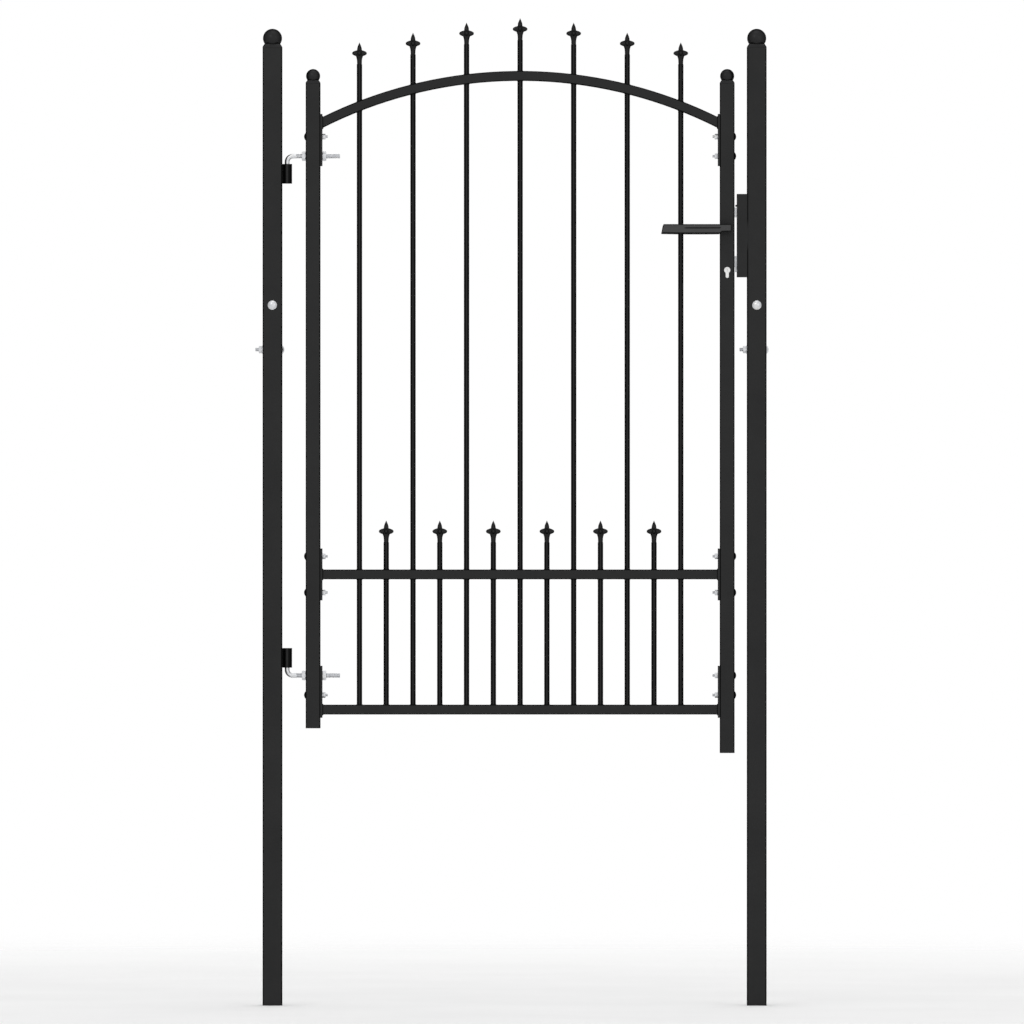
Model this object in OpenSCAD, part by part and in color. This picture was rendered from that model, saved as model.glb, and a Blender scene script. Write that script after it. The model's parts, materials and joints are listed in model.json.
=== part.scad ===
// Garden gate: one steel leaf with an arched top rail and spear-tipped pickets, hung between two
// square posts on a pair of opposed hook hinges and kept shut by a narrow mortice lock.
// Millimetres. The origin lies midway between the feet of the posts, +X runs from the hinge post
// to the lock post, +Y from the front of the gate to its back, and +Z up.

/* [Posts] */
// Clear width between the posts
opening_w = 950; // [930:5:970]
// Outside width of a post
post_w = 40; // [38:1:44]
// Wall of a post
post_wall = 1.5; // [1.2:0.1:2.5]
// Height of a post without its cap
post_h = 1957; // [1940:1:2000]
// Diameter of the ball on a post cap
post_ball_d = 39; // [34:0.5:40]

/* [Stiles] */
// Outside width of a stile
stile_w = 30; // [29:1:32]
// Wall of a stile
stile_wall = 1.5; // [1.2:0.1:2]
// Height of the top of both stiles, without their caps
stile_top_z = 1884; // [1870:1:1900]
// Height of the foot of the hinge stile
hinge_stile_foot_z = 566.5; // [520:0.5:580]
// Height of the foot of the lock stile
lock_stile_foot_z = 516; // [480:1:580]
// Gap between the hinge post and the hinge stile
hinge_gap = 48; // [46:0.5:52]
// Gap between the lock stile and the lock post
lock_gap = 25.4; // [25:0.2:27]
// Diameter of the ball on a stile cap
stile_ball_d = 28.8; // [26:0.2:30]

/* [Rails] */
// Outside width of a rail
rail_w = 20; // [18:1:22]
// Wall of a rail
rail_wall = 1.5; // [1.2:0.1:2]
// Height of the bottom rail's centre
bottom_rail_z = 604.6; // [600:0.2:610]
// Height of the middle rail's centre
middle_rail_z = 881; // [860:1:900]
// Height of the arched rail's centre at its crown
arch_crown_z = 1900.2; // [1890:0.2:1910]
// Radius of the arched rail's centre line
arch_r = 905.5; // [880:0.5:960]

/* [Pickets] */
// Diameter of a picket
picket_d = 11; // [10:0.5:12]
// Wall of a picket
picket_wall = 1; // [0.8:0.1:1.5]
// Distance between two full pickets
picket_pitch = 109.5; // [104:0.5:112]
// Height of the middle picket's spear tip
middle_tip_z = 2018; // [2000:1:2030]
// How far the tips of the full pickets lie below the middle one, from the middle outwards
tip_drops = [0, 9, 29.5, 49.5];
// Height of the short pickets' spear tips
short_tip_z = 991; // [980:1:1010]
// Height of a spear above the end of its picket
spear_h = 44.5; // [42:0.5:48]
// Distance across the four lobes of a spear
spear_span = 30; // [26:0.5:32]

/* [Plates and bolts] */
// Thickness of the plates that the rails are welded to
plate_t = 4; // [3:0.5:5]
// Height of a plate
plate_h = 106; // [104:1:110]
// Distance between the two holes of a top or bottom plate
plate_hole_gap = 40; // [38:1:44]
// Distance between the two holes of a middle plate
middle_hole_gap = 74.2; // [70:0.2:80]
// Height of the front-to-back bolt through each post
front_bolt_z = 1431.3; // [1420:0.1:1440]
// Height of the sideways bolt through each post
side_bolt_z = 1340.6; // [1330:0.1:1350]

/* [Hinges] */
// Distance from the hinge axis to the post's face
hinge_offset = 10; // [10:0.1:10.4]
// Diameter of a hook's rod
hook_d = 10; // [10:0.1:10.2]
// Height of the upper hook's level leg
upper_hook_z = 1736.1; // [1730:0.1:1740]
// Height of the lower hook's level leg
lower_hook_z = 674.4; // [670:0.1:680]
// Radius of the bend in a hook, at the rod's centre
hook_bend_r = 11.5; // [11:0.5:13]
// Height of a barrel
barrel_h = 40; // [36:1:44]
// Distance from a hook's level leg to the mouth of its barrel
barrel_drop = 16; // [15:0.5:18]
// Running clearance between a hook's pin and its barrel, on the radius
pin_play = 0.05; // [0.03:0.01:0.08]

/* [Lock] */
// Height of the lever's pivot
lever_z = 1588.5; // [1587:0.5:1590]
// Height of the lock cylinder's plug
cylinder_z = 1503; // [1501:0.5:1505]
// Length of the lever from its pivot to its end
lever_l = 134.5; // [110:0.5:140]
// Height of the lever's grip at its middle
lever_h = 19; // [16:0.2:20]
// How far the latch stands out of the stile
latch_throw = 11; // [9:0.5:11]
// How far the dead bolt stands out of the stile when it is locked
bolt_throw = 10; // [9:0.5:10]

/* [Hidden] */
$fn = 64;
FULL_PICKETS = 7;
SHORT_PICKETS = 6;

POWDER_BLACK = [0.17, 0.17, 0.17];
CAP_BLACK = [0.14, 0.14, 0.14];
ZINC = [0.78, 0.79, 0.8];
NICKEL = [0.88, 0.88, 0.86];
LOCK_STEEL = [0.62, 0.63, 0.64];

// Slack that lets one drilled piece over another
slack = 0.1;
// A thread's pitch diameter as a share of its outer diameter
pitch_share = 0.9;
// Amount by which a cutting solid passes the face that it cuts
over = 1;

// Where the posts, the hinge axis and the stiles stand along X
post_x = opening_w / 2 + post_w / 2;
hinge_x = -opening_w / 2 + hinge_offset;
hinge_stile_x = -opening_w / 2 + hinge_gap + stile_w / 2;
lock_stile_x = opening_w / 2 - lock_gap - stile_w / 2;
post_corner_r = 3;

// The panel fills the space between the plates on the two stiles
panel_x = (hinge_stile_x + lock_stile_x) / 2;
panel_w = lock_stile_x - hinge_stile_x - stile_w - 2 * plate_t;
stile_corner_r = 2.5;
rail_corner_r = 2;
arch_centre_z = arch_crown_z - arch_r;
arch_half_angle = asin((panel_w / 2) / (arch_r - rail_w)) + 1;
picket_foot_z = bottom_rail_z + rail_w / 2;

// Plates
top_plate_z = upper_hook_z + 33;
bottom_plate_z = lower_hook_z - 33.4;

// M6 and M8 carriage bolts, M10 hook nuts
m6 = [6, 16, 3.5, 10, 5, 12, 1.6];
m8 = [8, 19, 4.5, 13, 6.5, 17, 1.6];
m10_af = 17;
m10_nut_h = 8;
plate_bolt_l = stile_w + plate_t + 11;
post_bolt_l = post_w + 15;

// Hooks and barrels
barrel_r = hinge_offset;
barrel_floor = 4;
pin_end_gap = 0.2;
hook_rod_end_x = hinge_x + 108;

// Lock case, inside the lock stile
stile_front_y = -stile_w / 2;
stile_edge_x = lock_stile_x + stile_w / 2;
forend_z = [1464, 1663];
forend_w = 22;
case_z = [1477, 1650];
case_x = [stile_edge_x - 27, stile_edge_x - stile_wall];
case_half_y = 8;
case_t = 1;
guide_gap = 0.3;

// Latch: nose, tail and the talon that the follower's arm pushes
latch_z = [1611, 1631];
latch_half_y = 6;
latch_rear_x = stile_edge_x - 3.6;
talon_x = [lock_stile_x + 0.8, lock_stile_x + 2.9];
talon_foot_z = 1603.4;
latch_spring_z = 1624.5;

// Follower: hub and arm, turned by the lever's spindle
follower_r = 8.5;
arm_reach = 18;
arm_tilt = 22;
arm_half_w = 2.5;
spindle_w = 8;

// Dead bolt: nose, tail and the notch that the cam's tooth works in
bolt_z = [1499, 1532];
bolt_half_y = 4;
bolt_tail_foot_z = cylinder_z + 6.3;
bolt_rear_x = lock_stile_x - 0.4;
cam_reach = 10;
cam_tilt = 30;
tooth_half_w = 1.6;

// Lock cylinder: a round body with a straight tail
plug_r = 4.45;
cylinder_r = 6.25;
cylinder_tail_w = 6.5;
cylinder_foot_z = cylinder_z - 16;
cylinder_half_l = stile_w / 2 + 1.5;
cam_r = 5.9;
cam_half_w = 4.7;
cylinder_screw_z = cylinder_z - 11.8;

// Levers
lever_neck_r = 7.6;
neck_root_y = stile_w / 2 + 0.4;
grip_y = [47, 59];

// Keeper on the lock post
keeper_x = opening_w / 2 - 20.6;
keeper_z = [1488.7, 1658.5];
keeper_t = 2;

// ---------------------------------------------------------------- shared shapes

// A square with rounded corners
module rounded_square(w, r) {
    square([w, w - 2 * r], center = true);
    square([w - 2 * r, w], center = true);
    for (x = [-1, 1], y = [-1, 1])
        translate([x * (w / 2 - r), y * (w / 2 - r)]) circle(r = r, $fn = 32);
}

// The section of a square tube
module tube_section(w, wall, r) {
    difference() {
        rounded_square(w, r);
        rounded_square(w - 2 * wall, r - wall / 2);
    }
}

// An upright square tube between two heights
module upright_tube(x, w, wall, r, foot_z, top_z) {
    translate([x, 0, foot_z])
        linear_extrude(height = top_z - foot_z) tube_section(w, wall, r);
}

// A cylinder along X or Y that starts at a point and runs in the positive direction
module rod_x(x, y, z, r, l) {
    translate([x, y, z]) rotate([0, 90, 0]) cylinder(r = r, h = l);
}
module rod_y(x, y, z, r, l) {
    translate([x, y, z]) rotate([-90, 0, 0]) cylinder(r = r, h = l);
}

// A box given by its lowest and highest corners
module box(lo, hi) {
    translate(lo) cube(hi - lo);
}

// A carriage bolt: domed head on the XY plane with its shank along +Z. Inside its nut, which
// starts at nut_z, the thread is a plain cylinder at the pitch radius.
// size is [thread, head width, head height, nut width, nut height, washer width, washer height].
module carriage_bolt(size, l, nut_z) {
    nut_end = nut_z + size[4];
    head_r = size[1] / 2;
    dome_r = (head_r * head_r + size[2] * size[2]) / (2 * size[2]);
    intersection() {
        translate([0, 0, -size[2] + dome_r]) sphere(r = dome_r);
        translate([0, 0, -size[2]]) cylinder(r = head_r, h = size[2]);
    }
    cylinder(d = size[0], h = nut_z);
    cylinder(r = pitch_share * size[0] / 2, h = nut_end + 0.1);
    translate([0, 0, nut_end]) cylinder(d = size[0], h = l - nut_end);
    translate([0, 0, size[0] / 5]) cube([size[0], size[0], size[0] / 2.5], center = true);
}

// A hexagon nut standing on the XY plane with two corners along X, both faces chamfered
module hex_nut(bore_r, across_flats, h) {
    corner_r = across_flats / 2 / cos(30);
    face_r = across_flats * 0.475;
    chamfer_h = (corner_r - face_r) * tan(30);
    difference() {
        intersection() {
            cylinder(r = corner_r, h = h, $fn = 6);
            rotate_extrude() polygon([
                [0, 0], [face_r, 0], [corner_r, chamfer_h],
                [corner_r, h - chamfer_h], [face_r, h], [0, h]
            ]);
        }
        translate([0, 0, -over]) cylinder(r = bore_r, h = h + 2 * over);
    }
}

module washer(thread_d, outer_d, h) {
    difference() {
        cylinder(d = outer_d, h = h);
        translate([0, 0, -over]) cylinder(d = thread_d + 4 * slack, h = h + 2 * over);
    }
}

// A push-in cap with a bevelled flange and a ball, standing on the end of a tube
module ball_cap(w, wall, ball_d, bevel) {
    skirt_w = w - 2 * wall - 0.4;
    skirt_h = w * 0.4;
    flange_h = 2;
    step = 0.3;
    ball_r = ball_d / 2;
    neck_r = w / 2 - bevel - 0.4;
    flange_top = flange_h + bevel * 1.6;
    ball_z = flange_top + sqrt(ball_r * ball_r - neck_r * neck_r);
    translate([-w / 2, -w / 2, 0]) cube([w, w, flange_h]);
    translate([0, 0, flange_h]) rotate([0, 0, 45])
        cylinder(d1 = (w - 2 * step) * sqrt(2), d2 = (w - 2 * bevel) * sqrt(2),
            h = bevel * 1.6, $fn = 4);
    intersection() {
        translate([0, 0, ball_z]) sphere(d = ball_d);
        translate([-w, -w, flange_top - 0.5]) cube([2 * w, 2 * w, 2 * ball_d]);
    }
    translate([0, 0, -skirt_h]) linear_extrude(height = skirt_h)
        tube_section(skirt_w, 1.8, 2);
}

// ---------------------------------------------------------------- posts

module post(side) {
    head_w = m8[0] + 0.4;
    through_r = m8[0] / 2 + 0.25;
    color(POWDER_BLACK) difference() {
        upright_tube(side * post_x, post_w, post_wall, post_corner_r, 0, post_h);
        translate([side * post_x, -post_w / 2, front_bolt_z])
            cube([head_w, 4 * post_wall, head_w], center = true);
        rod_y(side * post_x, 0, front_bolt_z, through_r, post_w);
        translate([side * post_x + post_w / 2, 0, side_bolt_z])
            cube([4 * post_wall, head_w, head_w], center = true);
        rod_x(side * post_x - post_w, 0, side_bolt_z, through_r, post_w);
    }
}

module post_cap(side) {
    color(CAP_BLACK) translate([side * post_x, 0, post_h])
        ball_cap(post_w, post_wall, post_ball_d, 4);
}

// Places its children at each bolt through the posts, heads on the XY plane, shanks along +Z
module at_post_bolts() {
    for (side = [-1, 1]) {
        translate([side * post_x, -post_w / 2, front_bolt_z]) rotate([-90, 0, 0]) children();
        translate([side * post_x + post_w / 2, 0, side_bolt_z]) rotate([0, -90, 0]) children();
    }
}

module post_bolts() {
    color(ZINC) at_post_bolts() carriage_bolt(m8, post_bolt_l, post_w + m8[6]);
}

module post_washers() {
    color(ZINC) at_post_bolts() translate([0, 0, post_w]) washer(m8[0], m8[5], m8[6]);
}

module post_nuts() {
    color(ZINC) at_post_bolts()
        translate([0, 0, post_w + m8[6]])
            hex_nut(pitch_share * m8[0] / 2 + pin_play, m8[3], m8[4]);
}

// A blind barrel with its mouth on the XY plane and its weld pad towards -X
module hinge_barrel() {
    weld_half_w = 5;
    difference() {
        union() {
            translate([0, 0, -barrel_h]) cylinder(r = barrel_r, h = barrel_h);
            box([-hinge_offset, -weld_half_w, -barrel_h + 1.5], [-barrel_r / 2, weld_half_w, -1.5]);
        }
        translate([0, 0, -barrel_h + barrel_floor])
            cylinder(r = hook_d / 2 + pin_play, h = barrel_h);
    }
}

module upper_hinge_barrel() {
    color(POWDER_BLACK) translate([hinge_x, 0, upper_hook_z - barrel_drop]) hinge_barrel();
}

module lower_hinge_barrel() {
    color(POWDER_BLACK) translate([hinge_x, 0, lower_hook_z + barrel_drop])
        mirror([0, 0, 1]) hinge_barrel();
}

// A folded box, open towards the post, with one slot for the latch and one for the dead bolt
module keeper() {
    post_face_x = opening_w / 2;
    half_y = post_w / 2;
    lip_x = keeper_x - 2.9;
    color(POWDER_BLACK) difference() {
        union() {
            box([keeper_x, -half_y, keeper_z[0]], [post_face_x, half_y, keeper_z[1]]);
            box([lip_x, -7, latch_z[1] + 2], [keeper_x + over, 7, latch_z[1] + 5.5]);
        }
        box([keeper_x + keeper_t, -half_y + keeper_t, keeper_z[0] + keeper_t],
            [post_face_x + over, half_y - keeper_t, keeper_z[1] - keeper_t]);
        box([keeper_x - over, -latch_half_y - 2, latch_z[0] - 1.5],
            [keeper_x + keeper_t + over, latch_half_y + 2, latch_z[1] + 1.5]);
        box([keeper_x - over, -bolt_half_y - 2, bolt_z[0] - 1.5],
            [keeper_x + keeper_t + over, bolt_half_y + 2, bolt_z[1] + 1.5]);
    }
}

// ---------------------------------------------------------------- leaf frame

// Heights of the M6 bolts through each stile
hinge_bolt_zs = [lower_hook_z - plate_hole_gap, middle_rail_z - middle_hole_gap / 2,
    middle_rail_z + middle_hole_gap / 2, upper_hook_z + plate_hole_gap];
lock_bolt_zs = concat(hinge_bolt_zs, [lower_hook_z, upper_hook_z]);

// Square hole for a bolt's neck in a stile's outer wall, round hole through the inner wall.
// side is -1 for the hinge stile and +1 for the lock stile.
module stile_bolt_holes(x, side, zs) {
    neck_w = m6[0] + 0.4;
    for (z = zs) {
        translate([x + side * stile_w / 2, 0, z])
            cube([4 * stile_wall, neck_w, neck_w], center = true);
        rod_x(x - (side > 0 ? stile_w : 0), 0, z, m6[0] / 2 + 0.2, stile_w);
    }
}

module hinge_stile() {
    color(POWDER_BLACK) difference() {
        upright_tube(hinge_stile_x, stile_w, stile_wall, stile_corner_r,
            hinge_stile_foot_z, stile_top_z);
        stile_bolt_holes(hinge_stile_x, -1, hinge_bolt_zs);
        for (z = [lower_hook_z, upper_hook_z])
            rod_x(hinge_stile_x - stile_w, 0, z, hook_d / 2 + 0.25, 2 * stile_w);
    }
}

// Outline of the lock cylinder seen from the front, grown by a margin
module cylinder_outline(margin) {
    foot_r = cylinder_tail_w / 2 + margin;
    circle(r = cylinder_r + margin);
    translate([-foot_r, cylinder_foot_z - cylinder_z + foot_r - margin])
        square([2 * foot_r, cylinder_z - cylinder_foot_z - foot_r + margin]);
    translate([0, cylinder_foot_z - cylinder_z + foot_r - margin]) circle(r = foot_r);
}

// The cylinder's outline as a bar along Y
module cylinder_bar(margin, half_l) {
    translate([lock_stile_x, half_l, cylinder_z]) rotate([90, 0, 0])
        linear_extrude(height = 2 * half_l) cylinder_outline(margin);
}

// The lock stile has a slot in its outer wall for the forend, and a tapped tab at each end of it
module lock_stile() {
    slot_gap = 0.2;
    spindle_hole_r = 6.5;
    tab_x = stile_edge_x - stile_wall;
    tab_half_h = 9;
    color(POWDER_BLACK) difference() {
        union() {
            difference() {
                upright_tube(lock_stile_x, stile_w, stile_wall, stile_corner_r,
                    lock_stile_foot_z, stile_top_z);
                box([tab_x - over, -forend_w / 2 - slot_gap, forend_z[0] - slot_gap],
                    [stile_edge_x + over, forend_w / 2 + slot_gap, forend_z[1] + slot_gap]);
            }
            for (z = forend_z)
                box([tab_x - 4, -8, z - tab_half_h], [tab_x, 8, z + tab_half_h]);
        }
        stile_bolt_holes(lock_stile_x, 1, lock_bolt_zs);
        rod_y(lock_stile_x, -stile_w, lever_z, spindle_hole_r, 2 * stile_w);
        cylinder_bar(0.3, stile_w);
        for (z = [forend_z[0] + 5, forend_z[1] - 5])
            rod_x(tab_x - 2 * stile_wall - over, 0, z, 2.05, 4 * stile_wall);
    }
}

module stile_cap(x) {
    color(CAP_BLACK) translate([x, 0, stile_top_z])
        ball_cap(stile_w, stile_wall, stile_ball_d, 3.2);
}

// Holes that let the pickets at the given places through a rail
function full_picket_x(i) = panel_x + (i - (FULL_PICKETS + 1) / 2) * picket_pitch;
function short_picket_x(i) = panel_x + (i - (SHORT_PICKETS + 1) / 2) * picket_pitch;
full_picket_xs = [for (i = [1:FULL_PICKETS]) full_picket_x(i)];
short_picket_xs = [for (i = [1:SHORT_PICKETS]) short_picket_x(i)];

module picket_holes(xs, z, half_h) {
    for (x = xs)
        translate([x, 0, z - half_h]) cylinder(r = picket_d / 2 + slack, h = 2 * half_h);
}

module straight_rail(z) {
    translate([panel_x - panel_w / 2, 0, z]) rotate([90, 0, 90])
        linear_extrude(height = panel_w) tube_section(rail_w, rail_wall, rail_corner_r);
}

// The arched rail: a square tube bent to a radius, its ends cut upright against the plates
module arch_rail() {
    arch_rise = arch_r - sqrt(arch_r * arch_r - panel_w * panel_w / 4);
    color(POWDER_BLACK) difference() {
        intersection() {
            translate([panel_x, 0, arch_centre_z]) rotate([90, 0, 0])
                rotate([0, 0, 90 - arch_half_angle])
                    rotate_extrude(angle = 2 * arch_half_angle, $fn = 1080)
                        translate([arch_r, 0]) tube_section(rail_w, rail_wall, rail_corner_r);
            translate([panel_x, 0, arch_crown_z])
                cube([panel_w, 2 * rail_w, 3 * arch_rise], center = true);
        }
        picket_holes(full_picket_xs, arch_crown_z, 1.5 * arch_rise);
    }
}

module middle_rail() {
    color(POWDER_BLACK) difference() {
        straight_rail(middle_rail_z);
        picket_holes(concat(full_picket_xs, short_picket_xs), middle_rail_z, rail_w);
    }
}

module bottom_rail() {
    color(POWDER_BLACK) straight_rail(bottom_rail_z);
}

// ---------------------------------------------------------------- pickets and spears

function full_tip_z(i) = middle_tip_z - tip_drops[abs(i - (FULL_PICKETS + 1) / 2)];

module picket(x, tip_z) {
    length = tip_z - spear_h - picket_foot_z;
    color(POWDER_BLACK) translate([x, 0, picket_foot_z]) difference() {
        cylinder(d = picket_d, h = length);
        translate([0, 0, -over])
            cylinder(d = picket_d - 2 * picket_wall, h = length + 2 * over);
    }
}

// A cast spear: spigot, flared stem, four round lobes and a sharp tip. Its stem starts at z = 0.
module spear() {
    lobe_r = 5.8;
    lobe_z = spear_h - 22.3;
    spigot_d = picket_d - 2 * picket_wall - 0.1;
    translate([0, 0, -12]) cylinder(d = spigot_d, h = 12.5);
    cylinder(r1 = 4.7, r2 = 5, h = lobe_z - 12);
    translate([0, 0, lobe_z - 12]) cylinder(r1 = 5, r2 = 6.9, h = 6);
    translate([0, 0, lobe_z - 6]) cylinder(r1 = 6.9, r2 = 5.6, h = 12);
    translate([0, 0, lobe_z + 6]) cylinder(r1 = 4.9, r2 = 4.3, h = 5.3);
    translate([0, 0, lobe_z + 11.3]) cylinder(r1 = 4.3, r2 = 0.5, h = 11);
    for (turn = [0:90:270]) rotate([0, 0, turn])
        translate([spear_span / 2 - lobe_r, 0, lobe_z]) sphere(r = lobe_r);
}

module picket_spears() {
    color(POWDER_BLACK) {
        for (i = [1:FULL_PICKETS]) translate([full_picket_x(i), 0, full_tip_z(i) - spear_h]) spear();
        for (x = short_picket_xs) translate([x, 0, short_tip_z - spear_h]) spear();
    }
}

// ---------------------------------------------------------------- plates and their bolts

// A plate against the inner face of a stile. side is -1 at the hinge stile, +1 at the lock stile.
// holes is a list of [height, radius].
module plate(side, z, holes) {
    inner_x = side < 0 ? hinge_stile_x + stile_w / 2 : lock_stile_x - stile_w / 2 - plate_t;
    color(POWDER_BLACK) difference() {
        translate([inner_x, -stile_w / 2, z - plate_h / 2]) cube([plate_t, stile_w, plate_h]);
        for (hole = holes) rod_x(inner_x - over, 0, hole[0], hole[1], plate_t + 2 * over);
    }
}

m6_hole_r = m6[0] / 2 + 0.2;
hook_hole_r = hook_d / 2 + 0.25;

module top_plate(side) {
    plate(side, top_plate_z, [[upper_hook_z + plate_hole_gap, m6_hole_r],
        [upper_hook_z, side < 0 ? hook_hole_r : m6_hole_r]]);
}

module middle_plate(side) {
    plate(side, middle_rail_z,
        [for (s = [-1, 1]) [middle_rail_z + s * middle_hole_gap / 2, m6_hole_r]]);
}

module bottom_plate(side) {
    plate(side, bottom_plate_z, [[lower_hook_z - plate_hole_gap, m6_hole_r],
        [lower_hook_z, side < 0 ? hook_hole_r : m6_hole_r]]);
}

// Places its children at each M6 bolt, head on the stile's outer face, shank towards the panel
module at_plate_bolts() {
    for (z = hinge_bolt_zs)
        translate([hinge_stile_x - stile_w / 2, 0, z]) rotate([0, 90, 0]) children();
    for (z = lock_bolt_zs)
        translate([lock_stile_x + stile_w / 2, 0, z]) rotate([0, -90, 0]) children();
}

module plate_bolts() {
    color(POWDER_BLACK) at_plate_bolts()
        carriage_bolt(m6, plate_bolt_l, stile_w + plate_t + m6[6]);
}

module plate_washers() {
    color(ZINC) at_plate_bolts()
        translate([0, 0, stile_w + plate_t]) washer(m6[0], m6[5], m6[6]);
}

module plate_nuts() {
    color(ZINC) at_plate_bolts()
        translate([0, 0, stile_w + plate_t + m6[6]])
            hex_nut(pitch_share * m6[0] / 2 + pin_play, m6[3], m6[4]);
}

// ---------------------------------------------------------------- hinge hooks

// A rod bent to a right angle: pin down from the origin's level, leg along +X at z = 0
module hinge_hook() {
    pin_l = barrel_drop + barrel_h - barrel_floor - pin_end_gap - hook_bend_r;
    rod_r = hook_d / 2;
    rod_x(hook_bend_r, 0, 0, rod_r, hook_rod_end_x - hinge_x - hook_bend_r);
    translate([hook_bend_r, 0, -hook_bend_r]) rotate([90, 0, 0]) rotate([0, 0, 90])
        rotate_extrude(angle = 90) translate([hook_bend_r, 0]) circle(r = rod_r);
    translate([0, 0, -hook_bend_r - pin_l]) cylinder(r = rod_r, h = pin_l);
}

module upper_hinge_hook() {
    color(ZINC) translate([hinge_x, 0, upper_hook_z]) hinge_hook();
}

module lower_hinge_hook() {
    color(ZINC) translate([hinge_x, 0, lower_hook_z]) mirror([0, 0, 1]) hinge_hook();
}

// A nut on each side of the stile on both hooks
module hinge_nuts() {
    outer_x = hinge_stile_x - stile_w / 2 - m10_nut_h;
    inner_x = hinge_stile_x + stile_w / 2 + plate_t;
    color(ZINC) for (z = [lower_hook_z, upper_hook_z], x = [outer_x, inner_x])
        translate([x, 0, z]) rotate([0, 90, 0])
            hex_nut(hook_d / 2 + pin_play, m10_af, m10_nut_h);
}

// ---------------------------------------------------------------- lock, fixed pieces

// A sheet-steel tray, open at the front, that holds the latch, the follower and the dead bolt
module lock_case() {
    color(LOCK_STEEL) difference() {
        box([case_x[0], -case_half_y + case_t, case_z[0]], [case_x[1], case_half_y, case_z[1]]);
        box([case_x[0] + case_t, -case_half_y, case_z[0] + case_t],
            [case_x[1] - case_t, case_half_y - case_t, case_z[1] - case_t]);
        bolt_slots(case_x[1] - case_t - over, case_x[1] + over);
        rod_y(lock_stile_x, 0, lever_z, follower_r + pin_play, 2 * case_half_y);
        cylinder_bar(slack, 2 * case_half_y);
        rod_x(case_x[1] - 2 * case_t, 0, cylinder_screw_z, 2.2, 3 * case_t);
    }
}

module lock_cover() {
    color(LOCK_STEEL) difference() {
        box([case_x[0], -case_half_y, case_z[0]], [case_x[1], -case_half_y + case_t, case_z[1]]);
        rod_y(lock_stile_x, -2 * case_half_y, lever_z, follower_r + pin_play, 2 * case_half_y);
        cylinder_bar(slack, 2 * case_half_y);
    }
}

// The openings that guide the latch and the dead bolt, from one X to another
module bolt_slots(x0, x1) {
    box([x0, -latch_half_y - guide_gap, latch_z[0] - guide_gap],
        [x1, latch_half_y + guide_gap, latch_z[1] + guide_gap]);
    box([x0, -bolt_half_y - guide_gap, bolt_z[0] - guide_gap],
        [x1, bolt_half_y + guide_gap, bolt_z[1] + guide_gap]);
}

// The face plate, flush with the stile's outer wall
module forend() {
    color(ZINC) difference() {
        box([case_x[1], -forend_w / 2, forend_z[0]], [stile_edge_x, forend_w / 2, forend_z[1]]);
        bolt_slots(case_x[1] - over, stile_edge_x + over);
        for (z = [forend_z[0] + 5, forend_z[1] - 5, cylinder_screw_z])
            countersunk_screw(stile_edge_x, z, 8, slack);
    }
}

// A countersunk screw along -X with its head flush at x, grown by a margin
module countersunk_screw(x, z, l, margin) {
    head_h = 1.5;
    translate([x - l, 0, z]) rotate([0, 90, 0]) {
        cylinder(r = 2 + margin, h = l - head_h + 0.01);
        translate([0, 0, l - head_h]) cylinder(r1 = 2 + margin, r2 = 3.6 + margin, h = head_h);
        if (margin > 0) translate([0, 0, l]) cylinder(r = 3.6 + margin, h = over);
    }
}

module forend_screws() {
    color(ZINC) for (z = [forend_z[0] + 5, forend_z[1] - 5])
        countersunk_screw(stile_edge_x, z, 8, 0);
}

module cylinder_screw() {
    color(ZINC) countersunk_screw(stile_edge_x, cylinder_screw_z, 14, 0);
}

// The cylinder's body: two halves joined by a bridge under the cam
module cylinder_body() {
    gap_half_w = cam_half_w + 0.3;
    color(NICKEL) difference() {
        cylinder_bar(0, cylinder_half_l);
        box([lock_stile_x - 2 * cylinder_r, -gap_half_w, cylinder_z - cam_r - 0.3],
            [lock_stile_x + 2 * cylinder_r, gap_half_w, cylinder_z + 2 * cylinder_r]);
        rod_y(lock_stile_x, -2 * cylinder_half_l, cylinder_z, plug_r + pin_play,
            4 * cylinder_half_l);
        rod_x(lock_stile_x - 1, 0, cylinder_screw_z, 2 + pin_play, cylinder_r);
    }
}

// A compression spring between the case's rear wall and the latch, swept as one closed coil
module latch_spring() {
    coils = 9;
    coil_r = 2.8;
    wire_r = 0.4;
    sides = 6;
    steps = 14 * coils;
    start_x = case_x[0] + case_t + wire_r;
    length = latch_rear_x - start_x - wire_r;
    ring = function (i) [for (s = [0:sides - 1])
        let (a = 360 * coils * i / steps, b = 360 * s / sides, r = coil_r + wire_r * cos(b))
        [length * i / steps + wire_r * sin(b), r * cos(a), r * sin(a)]];
    points = [for (i = [0:steps]) each ring(i)];
    walls = [for (i = [0:steps - 1], s = [0:sides - 1])
        let (a = i * sides + s, b = i * sides + (s + 1) % sides)
        [a, b, b + sides, a + sides]];
    ends = [[for (s = [sides - 1:-1:0]) s], [for (s = [0:sides - 1]) steps * sides + s]];
    color(ZINC) translate([start_x, 0, latch_spring_z])
        polyhedron(points = points, faces = concat(walls, ends));
}

// ---------------------------------------------------------------- lock, moving pieces

// Outline of a lever's grip in the XZ plane, with its pivot at the origin. Its top is straight
// and level with the neck's top; its foot bulges below the neck and rises to meet it.
module grip_outline() {
    steps = 10;
    end_lean = 4.2;
    foot_x = -14.5;
    foot_l = lever_l + foot_x;
    foot_z = lever_neck_r - lever_h;
    top = [[0, lever_neck_r], [-lever_l + end_lean, lever_neck_r - 0.2]];
    foot = [for (i = [steps:-1:0]) let (t = i / steps)
        [foot_x - foot_l * t, foot_z + 0.8 * pow(2 * t - 1, 2)]];
    rise = [[-11, foot_z + 1.4], [-8, foot_z + 2.5], [-5, foot_z + 3.5], [0, foot_z + 4]];
    polygon(concat(top, foot, rise));
    circle(r = lever_neck_r);
}

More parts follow.
